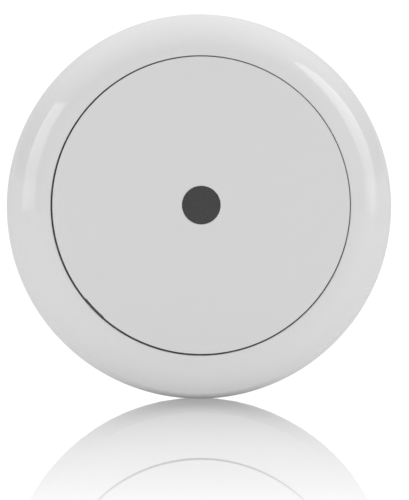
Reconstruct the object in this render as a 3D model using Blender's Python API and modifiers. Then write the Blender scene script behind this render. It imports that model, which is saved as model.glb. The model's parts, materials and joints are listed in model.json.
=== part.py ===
"""Round wall-mounted motion sensor with a glossy bezel ring and a lift-off front disc.

Every piece is laid out in the device's own frame: z runs from the wall towards the room,
y is up the wall, and x is to the right as seen from the room. The empty device_axis turns
that frame upright, so in the world the wall is the XZ plane and the front faces -Y.
"""

import math

import bmesh
import bpy

MM = 0.001

# Housing
BODY_RADIUS = 55.0 * MM  # at the widest plane, where bezel and rear shell meet
WIDEST = 11.0 * MM  # height of that plane above the wall
RIM = 34.5 * MM  # height of the bezel's front edge
CREASE_RADIUS = 52.5 * MM  # where the bezel's rounded front meets its steep side
CREASE = 24.0 * MM
FIRST_SLOPE = 0.12  # of the bezel's front at the seam
SIDE_BULGE = 0.2 * MM
SEAM_RADIUS = 41.0 * MM  # inside of the bezel's collar
SEAM_GAP = 0.4 * MM  # shadow gap round the front disc
WALL = 2.2 * MM
EDGE = 0.35 * MM  # rounding of the edges at the seam
FIT = 0.3 * MM  # clearance between pieces that rest on each other

# Wall plate and bayonet
PLATE_RADIUS = 51.2 * MM
PLATE_TOP = 2.2 * MM
COLLAR_TOP = 6.0 * MM
LUG_ANGLES = (90, 210, 330)
LUG_SPAN = 16
HOOK_SPAN = 14
UNLOCK_ANGLE = 18
STOP_SPAN = 3.2
STOP_PLAY = 0.5  # degrees between a hook and its stop
FIXING_RADIUS = 30.0 * MM  # wall fixings, from the axis

# Rear shell
FLOOR_BACK = 7.0 * MM
FLOOR_FRONT = 9.0 * MM
SKIRT_EDGE = 0.8 * MM
HOUSING_SCREW_RADIUS = 46.2 * MM
HOUSING_SCREW_ANGLES = (30, 150, 270)

# Front disc
DISC_RADIUS = SEAM_RADIUS - SEAM_GAP
DISC_CROWN = 1.8 * MM
DISC_WALL = 2.0 * MM
LEDGE_BACK = 26.0 * MM
LEDGE_FRONT = 28.0 * MM
LEDGE_RADIUS = 38.0 * MM
NOTCH_ANGLE = 224  # pry notch in the disc's edge, lower left
NOTCH_WIDTH = 7.0 * MM
NOTCH_DEPTH = 0.25 * MM
FINGER_ANGLES = (90, 210, 330)

# Lens
LENS_RADIUS = 5.2 * MM
LENS_PROUD = 0.4 * MM

# Circuit board
BOARD_BACK = 19.4 * MM
BOARD_FRONT = 21.0 * MM
BOARD_RADIUS = 36.5 * MM
BOARD_CHORD = -9.0 * MM
BOARD_SCREWS = ((-29.0 * MM, 10.0 * MM), (29.0 * MM, 10.0 * MM), (0.0, 31.0 * MM))
SEAT = BOARD_FRONT + FIT  # where a component's underside sits
LEAD_HOLE = (21.5 * MM, -4.5 * MM)  # for the battery leads, mirrored in x
PIN_CIRCLE = 2.54 * MM
PIN_ANGLES = (45, 135, 270)

# Placing on the board, x and y
PROCESSOR = (-17.5 * MM, 1.5 * MM)
AMPLIFIER = (-1.5 * MM, 14.5 * MM)
REGULATOR = (28.0 * MM, -1.5 * MM)
CRYSTAL = (16.5 * MM, 3.0 * MM)
RADIO = (-15.0 * MM, 18.5 * MM)
ANTENNA = (2.5 * MM, 24.5 * MM)
CAPACITOR = (-27.0 * MM, -1.5 * MM)
TEST_SWITCH = (11.5 * MM, 14.5 * MM)
TRIMMER = (20.0 * MM, 13.5 * MM)

# Tamper plunger
TAMPER_RADIUS = 20.0 * MM  # from the device's axis
TAMPER_ANGLE = 120
TAMPER_TRAVEL = 1.5 * MM
TAMPER_TIP = PLATE_TOP + TAMPER_TRAVEL + FIT

# Battery
CELL_RADIUS = 8.5 * MM
CELL_LENGTH = 34.5 * MM
CELL_Y = -19.4 * MM
TRAY_BACK = FLOOR_FRONT + FIT
TRAY_FRONT = 22.0 * MM
TRAY_FLOOR = 1.4 * MM
TRAY_WALL = 1.2 * MM
TRAY_INSIDE = 40.8 * MM
TRAY_END_WALL = 1.5 * MM
CELL_Z = TRAY_BACK + TRAY_FLOOR + CELL_RADIUS + FIT
TRAY_SCREW_X = 25.4 * MM
CONTACT_THICKNESS = 0.5 * MM

BIG_STEPS = 64
SMALL_STEPS = 24
MERGE = 0.00001


# ---- helpers ---------------------------------------------------------------------------


def clear_scene():
    for obj in list(bpy.data.objects):
        bpy.data.objects.remove(obj)


def new_collection(name):
    collection = bpy.data.collections.new(name)
    bpy.context.scene.collection.children.link(collection)
    return collection


def make_material(name, colour, roughness, metallic=0.0):
    made = bpy.data.materials.new(name)
    made.use_nodes = True
    shader = made.node_tree.nodes["Principled BSDF"]
    shader.inputs["Base Color"].default_value = (*colour, 1.0)
    shader.inputs["Roughness"].default_value = roughness
    shader.inputs["Metallic"].default_value = metallic
    return made


def polar(radius, degrees):
    angle = math.radians(degrees)
    return radius * math.cos(angle), radius * math.sin(angle)


def add_object(name, data):
    obj = bpy.data.objects.new(name, data)
    PARTS.objects.link(obj)
    obj.parent = DEVICE_AXIS
    return obj


def as_helper(obj):
    """Marks an object as a cutter or an added shape, which is never shown itself."""
    PARTS.objects.unlink(obj)
    CUTTERS.objects.link(obj)
    obj.hide_render = True
    obj.display_type = "WIRE"
    return obj


def apply_boolean(target, helper, operation):
    modifier = target.modifiers.new(operation.title(), "BOOLEAN")
    modifier.operation = operation
    modifier.object = as_helper(helper)
    return target


def cut(target, *helpers):
    for helper in helpers:
        apply_boolean(target, helper, "DIFFERENCE")
    return target


def join(target, *helpers):
    for helper in helpers:
        apply_boolean(target, helper, "UNION")
    return target


def paint(obj, name):
    obj.data.materials.clear()
    obj.data.materials.append(MATERIALS[name])
    return obj


def box(name, size, centre):
    cage = bmesh.new()
    bmesh.ops.create_cube(cage, size=1.0)
    bmesh.ops.scale(cage, vec=size, verts=cage.verts)
    mesh = bpy.data.meshes.new(name)
    cage.to_mesh(mesh)
    cage.free()
    obj = add_object(name, mesh)
    obj.location = centre
    return obj


def cylinder(name, radius, low, high, centre=(0.0, 0.0), steps=SMALL_STEPS):
    cage = bmesh.new()
    bmesh.ops.create_cone(
        cage, cap_ends=True, segments=steps, radius1=radius, radius2=radius, depth=high - low
    )
    mesh = bpy.data.meshes.new(name)
    cage.to_mesh(mesh)
    cage.free()
    mesh.shade_smooth()
    mesh.set_sharp_from_angle(angle=math.radians(35))
    obj = add_object(name, mesh)
    obj.location = (*centre, (low + high) / 2)
    return obj


def turned(name, profile, steps=SMALL_STEPS, closed=False):
    """A solid of revolution about z. The profile is (radius, z) points that run down the
    outer side; a closed profile is a ring's section, an open one starts and ends on the axis."""
    mesh = bpy.data.meshes.new(name)
    edges = [(i, i + 1) for i in range(len(profile) - 1)]
    if closed:
        edges.append((len(profile) - 1, 0))
    mesh.from_pydata([(r, 0.0, z) for r, z in profile], edges, [])
    obj = add_object(name, mesh)
    screw = obj.modifiers.new("Screw", "SCREW")
    screw.axis = "Z"
    screw.steps = steps
    screw.render_steps = steps
    screw.use_merge_vertices = True
    screw.merge_threshold = MERGE
    screw.use_smooth_shade = True
    return obj


def to_mesh(obj):
    """Replaces a curve by the mesh that it makes, with its caps welded."""
    bpy.context.view_layer.update()
    evaluated = obj.evaluated_get(bpy.context.evaluated_depsgraph_get())
    mesh = bpy.data.meshes.new_from_object(evaluated)
    cage = bmesh.new()
    cage.from_mesh(mesh)
    bmesh.ops.remove_doubles(cage, verts=cage.verts, dist=MERGE)
    bmesh.ops.recalc_face_normals(cage, faces=cage.faces)
    cage.to_mesh(mesh)
    cage.free()
    name = obj.name
    place = obj.matrix_basis.copy()
    bpy.data.objects.remove(obj)
    made = add_object(name, mesh)
    made.matrix_basis = place
    return made


def freeze(obj):
    """The evaluated mesh of an object, which copies can share. The object itself is removed."""
    bpy.context.view_layer.update()
    evaluated = obj.evaluated_get(bpy.context.evaluated_depsgraph_get())
    mesh = bpy.data.meshes.new_from_object(evaluated)
    helpers = [m.object for m in obj.modifiers if m.type == "BOOLEAN"]
    for used in [obj, *helpers]:
        bpy.data.objects.remove(used)
    return mesh


def extruded(name, outline, low, high):
    """A flat outline of (x, y) points, given a thickness from z = low to z = high."""
    curve = bpy.data.curves.new(name, "CURVE")
    curve.dimensions = "2D"
    curve.fill_mode = "BOTH"
    curve.extrude = (high - low) / 2
    spline = curve.splines.new("POLY")
    spline.points.add(len(outline) - 1)
    for point, (x, y) in zip(spline.points, outline):
        point.co = (x, y, 0.0, 1.0)
    spline.use_cyclic_u = True
    obj = add_object(name, curve)
    obj.location.z = (low + high) / 2
    return to_mesh(obj)


def arc_points(radius, start, end, count, centre=(0.0, 0.0)):
    points = []
    for i in range(count):
        x, y = polar(radius, start + (end - start) * i / (count - 1))
        points.append((centre[0] + x, centre[1] + y))
    return points


def sector(name, inner, outer, middle, span, low, high, count=5):
    """A block cut from a ring, span degrees wide about the angle middle."""
    start, end = middle - span / 2, middle + span / 2
    outline = arc_points(outer, start, end, count) + arc_points(inner, end, start, count)
    return extruded(name, outline, low, high)


def wire(name, points, radius):
    curve = bpy.data.curves.new(name, "CURVE")
    curve.dimensions = "3D"
    curve.bevel_depth = radius
    curve.bevel_resolution = 2
    curve.use_fill_caps = True
    spline = curve.splines.new("POLY")
    spline.points.add(len(points) - 1)
    for point, place in zip(spline.points, points):
        point.co = (*place, 1.0)
    return add_object(name, curve)


def coil_points(start_radius, end_radius, length, turns, per_turn=12):
    """A helix along z, whose radius can change evenly from one end to the other."""
    points = []
    count = int(turns * per_turn)
    for i in range(count + 1):
        share = i / count
        radius = start_radius + (end_radius - start_radius) * share
        x, y = polar(radius, 360 * turns * share)
        points.append((x, y, length * share))
    return points


def smooth_route(points, per_span=5):
    """Points read from a Catmull-Rom curve through the given ones."""
    ends = [points[0], *points, points[-1]]
    route = []
    for a, b, c, d in zip(ends, ends[1:], ends[2:], ends[3:]):
        for i in range(per_span):
            t = i / per_span
            route.append(
                tuple(
                    0.5
                    * (
                        2 * q
                        + (r - p) * t
                        + (2 * p - 5 * q + 4 * r - s) * t**2
                        + (3 * q - p - 3 * r + s) * t**3
                    )
                    for p, q, r, s in zip(a, b, c, d)
                )
            )
    route.append(points[-1])
    return route


def bezel_slope(radius):
    """How steeply the bezel's front falls at a radius. It grows evenly from seam to crease."""
    share = (radius - SEAM_RADIUS) / (CREASE_RADIUS - SEAM_RADIUS)
    last = 2 * (RIM - CREASE) / (CREASE_RADIUS - SEAM_RADIUS) - FIRST_SLOPE
    return FIRST_SLOPE + (last - FIRST_SLOPE) * share


def bezel_front(radius):
    """Height of the bezel's front at a radius."""
    return RIM - (radius - SEAM_RADIUS) * (FIRST_SLOPE + bezel_slope(radius)) / 2


def bezel_side(share):
    """A point (radius, z) of the bezel's side, from the crease at 0 to the widest plane at 1."""
    radius = CREASE_RADIUS + (BODY_RADIUS - CREASE_RADIUS) * share
    bulge = 4 * SIDE_BULGE * share * (1 - share)
    return radius + bulge, CREASE + (WIDEST + FIT - CREASE) * share


def crown_height(radius):
    """Height of the front disc's domed face at a radius."""
    return RIM + DISC_CROWN * (1 - (radius / DISC_RADIUS) ** 2)


def cross_cutter(name, width, depth, top):
    long_bar = box(name, (width, width * 0.28, depth), (0.0, 0.0, top - depth / 2))
    short_bar = box(name + "_bar", (width * 0.28, width, depth), (0.0, 0.0, top - depth / 2))
    return join(long_bar, short_bar)


# ---- wall plate ------------------------------------------------------------------------


def keyhole(name, x):
    """A wall fixing: a round opening for the screw's head below a narrow slot."""
    head, shank, drop = 4.3 * MM, 2.25 * MM, 7.5 * MM
    meet = math.degrees(math.acos(shank / head))
    low_centre = (x, -drop / 2)
    outline = arc_points(head, 180 - meet, 360 + meet, 17, low_centre)
    outline += arc_points(shank, 0, 180, 9, (x, drop / 2))
    return extruded(name, outline, -1 * MM, PLATE_TOP + 1 * MM)


def tamper_ramp():
    """A curved ramp on the wall plate. The plunger's tip rides down it as the sensor turns."""
    inner, outer = TAMPER_RADIUS - 2.4 * MM, TAMPER_RADIUS + 2.4 * MM
    root = PLATE_TOP - 1 * MM
    landing, run_out, steps = 9, 1.5, 6
    stations = [(TAMPER_ANGLE - landing, 1.0)]
    for i in range(steps + 1):
        stations.append((TAMPER_ANGLE + UNLOCK_ANGLE * i / steps, 1 - i / steps))
    stations.append((TAMPER_ANGLE + UNLOCK_ANGLE + run_out, -run_out / UNLOCK_ANGLE))
    verts = []
    for angle, share in stations:
        top = PLATE_TOP + TAMPER_TRAVEL * share
        for radius, z in ((inner, root), (outer, root), (outer, top), (inner, top)):
            verts.append((*polar(radius, angle), z))
    faces = [(0, 1, 2, 3)]
    for i in range(len(stations) - 1):
        a, b = 4 * i, 4 * i + 4
        for side in range(4):
            after = (side + 1) % 4
            faces.append((a + after, a + side, b + side, b + after))
    last = 4 * (len(stations) - 1)
    faces.append((last + 3, last + 2, last + 1, last))
    mesh = bpy.data.meshes.new("tamper_ramp")
    mesh.from_pydata(verts, [], faces)
    return add_object("tamper_ramp", mesh)


def build_wall_plate():
    bevel = 0.5 * MM
    plate = turned(
        "wall_plate",
        [
            (0.0, PLATE_TOP),
            (40.2 * MM, PLATE_TOP),
            (40.2 * MM, COLLAR_TOP),
            (42.0 * MM, COLLAR_TOP),
            (42.0 * MM, PLATE_TOP),
            (PLATE_RADIUS - bevel, PLATE_TOP),
            (PLATE_RADIUS, PLATE_TOP - bevel),
            (PLATE_RADIUS, bevel),
            (PLATE_RADIUS - bevel, 0.0),
            (0.0, 0.0),
        ],
        BIG_STEPS,
    )
    stop_shift = (HOOK_SPAN + STOP_SPAN) / 2 + STOP_PLAY
    for angle in LUG_ANGLES:
        join(
            plate,
            sector("lug", 41.5 * MM, 45.4 * MM, angle, LUG_SPAN, 4.4 * MM, 5.8 * MM),
        )
        for middle in (angle - stop_shift, angle + UNLOCK_ANGLE + stop_shift):
            join(
                plate,
                sector("stop", 45.9 * MM, 47.7 * MM, middle, STOP_SPAN, 1.2 * MM, 5.8 * MM, 2),
            )
    join(plate, tamper_ramp())
    cut(plate, keyhole("keyhole", -FIXING_RADIUS), keyhole("keyhole", FIXING_RADIUS))
    for y in (-FIXING_RADIUS, FIXING_RADIUS):
        cut(plate, cylinder("fixing_hole", 2.25 * MM, -1 * MM, 4 * MM, (0.0, y)))
    paint(plate, "white_moulding")


# ---- housing ---------------------------------------------------------------------------


def build_rear_shell():
    inside = BODY_RADIUS - WALL - 0.7 * MM
    lip_inside = inside - 1.2 * MM
    skirt_inside = 52.0 * MM
    shell = turned(
        "rear_shell",
        [
            (0.0, FLOOR_FRONT),
            (lip_inside, FLOOR_FRONT),
            (lip_inside, WIDEST + 2.5 * MM),
            (inside, WIDEST + 2.5 * MM),
            (inside, WIDEST),
            (BODY_RADIUS - 0.05 * MM, WIDEST),
            (BODY_RADIUS - 0.15 * MM, 8.0 * MM),
            (BODY_RADIUS - 0.4 * MM, 4.0 * MM),
            (BODY_RADIUS - 0.9 * MM, 1.7 * MM),
            (BODY_RADIUS - 1.7 * MM, SKIRT_EDGE),
            (skirt_inside, SKIRT_EDGE),
            (skirt_inside, FLOOR_BACK),
            (0.0, FLOOR_BACK),
        ],
        BIG_STEPS,
    )
    for angle in LUG_ANGLES:
        leg = sector("hook_leg", 46.0 * MM, 47.8 * MM, angle, HOOK_SPAN, 2.6 * MM, 7.8 * MM)
        foot = sector("hook_foot", 42.8 * MM, 47.0 * MM, angle, HOOK_SPAN - 1, 2.7 * MM, 4.1 * MM)
        join(shell, leg, foot)
    root = FLOOR_FRONT - 0.6 * MM
    for angle in HOUSING_SCREW_ANGLES:
        place = polar(HOUSING_SCREW_RADIUS, angle)
        join(shell, cylinder("socket", 4.0 * MM, root, 12.0 * MM, place, 16))
        cut(
            shell,
            cylinder("socket_bore", 3.0 * MM, 5.0 * MM, 9.6 * MM, place, 16),
            cylinder("socket_hole", 1.6 * MM, 9.0 * MM, 13.0 * MM, place, 12),
        )
    for place in BOARD_SCREWS:
        join(shell, cylinder("board_post", 3.0 * MM, root, BOARD_BACK - FIT, place, 16))
        cut(shell, cylinder("board_pilot", 1.25 * MM, 11.0 * MM, 21.0 * MM, place, 12))
    for x in (-TRAY_SCREW_X, TRAY_SCREW_X):
        join(shell, cylinder("tray_post", 3.0 * MM, root, 14.0 * MM, (x, CELL_Y), 16))
        cut(shell, cylinder("tray_pilot", 1.25 * MM, 9.6 * MM, 15.0 * MM, (x, CELL_Y), 12))
    place = polar(TAMPER_RADIUS, TAMPER_ANGLE)
    join(shell, cylinder("guide_tube", 5.6 * MM, root, 14.5 * MM, place))
    cut(
        shell,
        cylinder("guide_bore", 4.4 * MM, FLOOR_FRONT, 15.5 * MM, place),
        cylinder("guide_hole", 2.2 * MM, 5.0 * MM, 10.0 * MM, place, 16),
    )
    paint(shell, "white_moulding")


def build_bezel_ring():
    first = SEAM_RADIUS + EDGE
    profile = [(SEAM_RADIUS, RIM - EDGE), (SEAM_RADIUS + 0.3 * EDGE, RIM - 0.3 * EDGE)]
    for i in range(8):
        radius = first + (CREASE_RADIUS - first) * i / 8
        profile.append((radius, bezel_front(radius)))
    for i in range(5):
        profile.append(bezel_side(i / 4))
    for share in (1.0, 0.5, 0.13):
        radius, height = bezel_side(share)
        profile.append((radius - WALL, height))
    first = SEAM_RADIUS + 2 * MM
    last = CREASE_RADIUS - 2.3 * MM
    for i in range(5):
        radius = last + (first - last) * i / 4
        depth = WALL * math.hypot(1.0, bezel_slope(radius))
        profile.append((radius, bezel_front(radius) - depth))
    profile += [
        (SEAM_RADIUS + 2 * MM, LEDGE_BACK),
        (LEDGE_RADIUS, LEDGE_BACK),
        (LEDGE_RADIUS, LEDGE_FRONT),
        (SEAM_RADIUS, LEDGE_FRONT),
    ]
    ring = turned("bezel_ring", profile, BIG_STEPS, closed=True)
    for angle in HOUSING_SCREW_ANGLES:
        place = polar(HOUSING_SCREW_RADIUS, angle)
        join(ring, cylinder("boss", 3.4 * MM, 12.3 * MM, 27.0 * MM, place, 16))
        cut(ring, cylinder("boss_pilot", 1.6 * MM, 11.0 * MM, 24.0 * MM, place, 12))
    paint(ring, "white_gloss")


def screw_mesh(name, head_radius, head_height, shank_radius, length):
    """A pan-head screw along z, with its head's underside at z = 0 and its tip at -length."""
    screw = turned(
        name,
        [
            (0.0, head_height),
            (head_radius * 0.7, head_height),
            (head_radius * 0.95, head_height * 0.6),
            (head_radius, 0.0),
            (shank_radius, 0.0),
            (shank_radius, -length + shank_radius),
            (shank_radius * 0.3, -length),
            (0.0, -length),
        ],
        16,
    )
    recess = cross_cutter(name + "_recess", head_radius * 1.1, head_height, 1.4 * head_height)
    cut(screw, recess)
    bpy.context.view_layer.update()
    bar = next(m.object for m in recess.modifiers)
    mesh = freeze(screw)
    bpy.data.objects.remove(bar)
    mesh.materials.clear()
    mesh.materials.append(MATERIALS["steel"])
    return mesh


def build_screws():
    """The housing's screws enter from the back, the board's and the tray's from the front."""
    housing = screw_mesh("housing_screw", 2.6 * MM, 2.0 * MM, 1.25 * MM, 13.0 * MM)
    for number, angle in enumerate(HOUSING_SCREW_ANGLES, 1):
        obj = add_object(f"housing_screw_{number}", housing)
        obj.rotation_euler.x = math.pi
        obj.location = (*polar(HOUSING_SCREW_RADIUS, angle), 9.3 * MM)
    small = screw_mesh("small_screw", 2.2 * MM, 1.6 * MM, 0.95 * MM, 6.6 * MM)
    for number, place in enumerate(BOARD_SCREWS, 1):
        obj = add_object(f"board_screw_{number}", small)
        obj.location = (*place, BOARD_FRONT + FIT)
    for number, x in enumerate((-TRAY_SCREW_X, TRAY_SCREW_X), 1):
        obj = add_object(f"tray_screw_{number}", small)
        obj.location = (x, CELL_Y, 16.3 * MM + FIT)


# ---- front disc and lens ---------------------------------------------------------------


def build_front_disc():
    hole = LENS_RADIUS + FIT
    collar = (7.0 * MM, 8.4 * MM)  # holds the lens from behind
    collar_end = 30.5 * MM
    skirt_inside = DISC_RADIUS - 1.6 * MM
    skirt_end = LEDGE_FRONT + FIT
    face = [(hole, crown_height(hole))]
    for i in range(1, 7):
        radius = hole + (DISC_RADIUS - EDGE - hole) * i / 6
        face.append((radius, crown_height(radius)))
    back = []
    for i in range(4):
        radius = skirt_inside + (collar[1] - skirt_inside) * i / 3
        back.append((radius, crown_height(radius) - DISC_WALL))
    edge_top = crown_height(DISC_RADIUS)
    profile = face + [
        (DISC_RADIUS - 0.3 * EDGE, edge_top - 0.3 * EDGE),
        (DISC_RADIUS, edge_top - EDGE),
        (DISC_RADIUS, skirt_end),
        (skirt_inside, skirt_end),
    ]
    profile += back
    profile += [
        (collar[1], collar_end),
        (collar[0], collar_end),
        (collar[0], crown_height(0.0) - DISC_WALL),
        (hole, crown_height(0.0) - DISC_WALL),
    ]
    disc = turned("front_disc", profile, BIG_STEPS, closed=True)
    for angle in FINGER_ANGLES:
        finger = box("finger", (1.0 * MM, 8.0 * MM, 9.0 * MM), (36.7 * MM, 0.0, 29.1 * MM))
        barb = box("barb", (1.0 * MM, 7.4 * MM, 1.0 * MM), (37.2 * MM, 0.0, 25.2 * MM))
        for piece in (finger, barb):
            place = (*polar(piece.location.x, angle), piece.location.z)
            piece.location = place
            piece.rotation_euler.z = math.radians(angle)
        join(disc, finger, barb)
    notch = box(
        "pry_notch",
        (2.0 * MM, NOTCH_WIDTH, 8.0 * MM),
        (*polar(DISC_RADIUS - NOTCH_DEPTH + 1.0 * MM, NOTCH_ANGLE), RIM),
    )
    notch.rotation_euler.z = math.radians(NOTCH_ANGLE)
    cut(disc, notch)
    paint(disc, "white_satin")


def build_lens():
    """The dark window: a domed boss in the disc's hole and a flange behind the disc."""
    flange = LENS_RADIUS + 1.4 * MM
    flange_front = crown_height(0.0) - DISC_WALL - FIT
    flange_back = flange_front - 1.0 * MM
    top = crown_height(0.0) + LENS_PROUD
    profile = [(0.0, top)]
    for share in (0.4, 0.75, 0.92):
        profile.append((LENS_RADIUS * share, top - LENS_PROUD * share**3))
    profile += [
        (LENS_RADIUS, top - 1.4 * LENS_PROUD),
        (LENS_RADIUS, flange_front),
        (flange, flange_front),
        (flange, flange_back),
        (0.0, flange_back),
    ]
    paint(turned("lens_window", profile, 32), "smoked_lens")
    retainer_front = flange_back - FIT
    retainer = turned(
        "lens_retainer",
        [
            (5.0 * MM, retainer_front),
            (6.7 * MM, retainer_front),
            (6.7 * MM, retainer_front - 1.8 * MM),
            (5.0 * MM, retainer_front - 1.8 * MM),
        ],
        32,
        closed=True,
    )
    paint(retainer, "black_plastic")


# ---- circuit board and sensor ----------------------------------------------------------


def build_main_board():
    half = math.degrees(math.asin(-BOARD_CHORD / BOARD_RADIUS))
    outline = arc_points(BOARD_RADIUS, -half, 180 + half, 41)
    board = extruded("main_board", outline, BOARD_BACK, BOARD_FRONT)
    low, high = BOARD_BACK - 1 * MM, BOARD_FRONT + 1 * MM
    for place in BOARD_SCREWS:
        cut(board, cylinder("screw_hole", 1.5 * MM, low, high, place, 12))
    for angle in PIN_ANGLES:
        cut(board, cylinder("pin_hole", 0.6 * MM, low, high, polar(PIN_CIRCLE, angle), 8))
    for side in (-1, 1):
        place = (side * LEAD_HOLE[0], LEAD_HOLE[1])
        cut(board, cylinder("lead_hole", 1.0 * MM, low, high, place, 12))
    cut(board, cylinder("antenna_hole", 0.8 * MM, low, high, ANTENNA, 12))
    paint(board, "board_green")


def build_pir():
    """The infrared detector: a metal can on a spacer, with a filter window in its top."""
    spacer_top = SEAT + 2.0 * MM
    spacer = cylinder("pir_spacer", 4.8 * MM, SEAT, spacer_top)
    for angle in PIN_ANGLES:
        place = polar(PIN_CIRCLE, angle)
        cut(spacer, cylinder("spacer_hole", 0.6 * MM, SEAT - 1 * MM, spacer_top + 1 * MM, place, 8))
    paint(spacer, "white_moulding")
    flange = spacer_top + FIT
    top = flange + 4.2 * MM
    can = turned(
        "pir_can",
        [
            (0.0, top),
            (3.7 * MM, top),
            (4.0 * MM, top - 0.15 * MM),
            (4.1 * MM, top - 0.5 * MM),
            (4.1 * MM, flange + 0.5 * MM),
            (4.6 * MM, flange + 0.5 * MM),
            (4.6 * MM, flange),
            (0.0, flange),
        ],
    )
    for angle in PIN_ANGLES:
        place = polar(PIN_CIRCLE, angle)
        join(can, cylinder("pin", 0.25 * MM, BOARD_BACK - 1.2 * MM, flange + 0.3 * MM, place, 8))
    cut(can, box("window_recess", (4.4 * MM, 3.4 * MM, 1.2 * MM), (0.0, 0.0, top)))
    paint(can, "steel")
    window = box("pir_filter", (3.8 * MM, 2.8 * MM, 0.35 * MM), (0.0, 0.0, top - 0.13 * MM))
    paint(window, "smoked_lens")
    shroud = turned(
        "sensor_shroud",
        [(6.7 * MM, 30.2 * MM), (8.2 * MM, 30.2 * MM), (8.2 * MM, SEAT), (6.7 * MM, SEAT)],
        32,
        closed=True,
    )
    paint(shroud, "black_rubber")
    led = box("status_led", (1.0 * MM, 1.6 * MM, 0.7 * MM), (5.6 * MM, 0.0, SEAT + 0.35 * MM))
    paint(led, "white_satin")


def block(name, size, place, low, finish, bevel=0.2 * MM):
    """A rectangular component that stands on z = low, with its edges eased."""
    part = box(name, size, (*place, low + size[2] / 2))
    eased = part.modifiers.new("Bevel", "BEVEL")
    eased.width = bevel
    eased.segments = 1
    return paint(part, finish)


def build_components():
    block("processor_chip", (7 * MM, 7 * MM, 1.2 * MM), PROCESSOR, SEAT, "black_plastic")
    block("amplifier_chip", (5 * MM, 4 * MM, 1.5 * MM), AMPLIFIER, SEAT, "black_plastic")
    block("regulator_chip", (3 * MM, 1.7 * MM, 1.1 * MM), REGULATOR, SEAT, "black_plastic")
    block("radio_board", (15 * MM, 18 * MM, 0.8 * MM), RADIO, SEAT, "board_blue", 0.1 * MM)
    shield_at = (RADIO[0], RADIO[1] - 1.5 * MM)
    shield_low = SEAT + 0.8 * MM + FIT
    block("radio_shield", (11 * MM, 12 * MM, 2 * MM), shield_at, shield_low, "steel", 0.3 * MM)
    half, round_end = 3.1 * MM, 2.1 * MM
    outline = arc_points(round_end, -90, 90, 9, (CRYSTAL[0] + half, CRYSTAL[1]))
    outline += arc_points(round_end, 90, 270, 9, (CRYSTAL[0] - half, CRYSTAL[1]))
    paint(extruded("crystal_can", outline, SEAT, SEAT + 3.4 * MM), "steel")
    radius, height = 2.5 * MM, 7.0 * MM
    can = turned(
        "buffer_capacitor",
        [
            (0.0, SEAT + height),
            (radius - 0.4 * MM, SEAT + height),
            (radius, SEAT + height - 0.4 * MM),
            (radius, SEAT + 1.7 * MM),
            (radius - 0.25 * MM, SEAT + 1.4 * MM),
            (radius, SEAT + 1.1 * MM),
            (radius, SEAT),
            (0.0, SEAT),
        ],
    )
    can.location = (*CAPACITOR, 0.0)
    paint(can, "black_plastic")


def build_antenna():
    """A helical antenna that lies along x, with its feed leg through the board."""
    radius, wire_radius = 2.2 * MM, 0.4 * MM
    middle = SEAT + radius + wire_radius + 0.2 * MM
    x, y = ANTENNA
    route = [(x, y, BOARD_BACK - 0.8 * MM), (x, y, middle - radius - 0.4 * MM)]
    lead_in = 1.2 * MM
    for across, up, along in coil_points(radius, radius, 11.5 * MM, 7):
        route.append((x + lead_in + along, y + up, middle - across))
    paint(wire("antenna_coil", route, wire_radius), "brass")


# ---- switch, trimmer and tamper --------------------------------------------------------


def build_test_switch():
    top = SEAT + 3.5 * MM
    body = block("test_switch", (6 * MM, 6 * MM, 3.5 * MM), TEST_SWITCH, SEAT, "black_plastic")
    cut(body, cylinder("switch_bore", 2.1 * MM, top - 2.3 * MM, top + 1 * MM, TEST_SWITCH))
    radius = 1.75 * MM
    button = turned(
        "test_button",
        [
            (0.0, 2.2 * MM),
            (radius - 0.3 * MM, 2.2 * MM),
            (radius, 1.9 * MM),
            (radius, -1.5 * MM),
            (0.0, -1.5 * MM),
        ],
    )
    button.location = (*TEST_SWITCH, top)
    paint(button, "button_grey")


def build_trimmer():
    top = SEAT + 3.0 * MM
    body = block("trimmer_body", (6.5 * MM, 6.5 * MM, 3 * MM), TRIMMER, SEAT, "trimmer_blue")
    cut(body, cylinder("trimmer_bore", 2.3 * MM, top - 2.3 * MM, top + 1 * MM, TRIMMER))
    radius = 2.0 * MM
    rotor = turned(
        "trimmer_rotor",
        [
            (0.0, 0.6 * MM),
            (radius - 0.2 * MM, 0.6 * MM),
            (radius, 0.4 * MM),
            (radius, -2.0 * MM),
            (0.0, -2.0 * MM),
        ],
    )
    rotor.location = (*TRIMMER, top)
    slot = box("trimmer_slot", (0.6 * MM, 3.2 * MM, 1.6 * MM), (*TRIMMER, top + 0.6 * MM))
    cut(rotor, slot)
    paint(rotor, "white_moulding")


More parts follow.
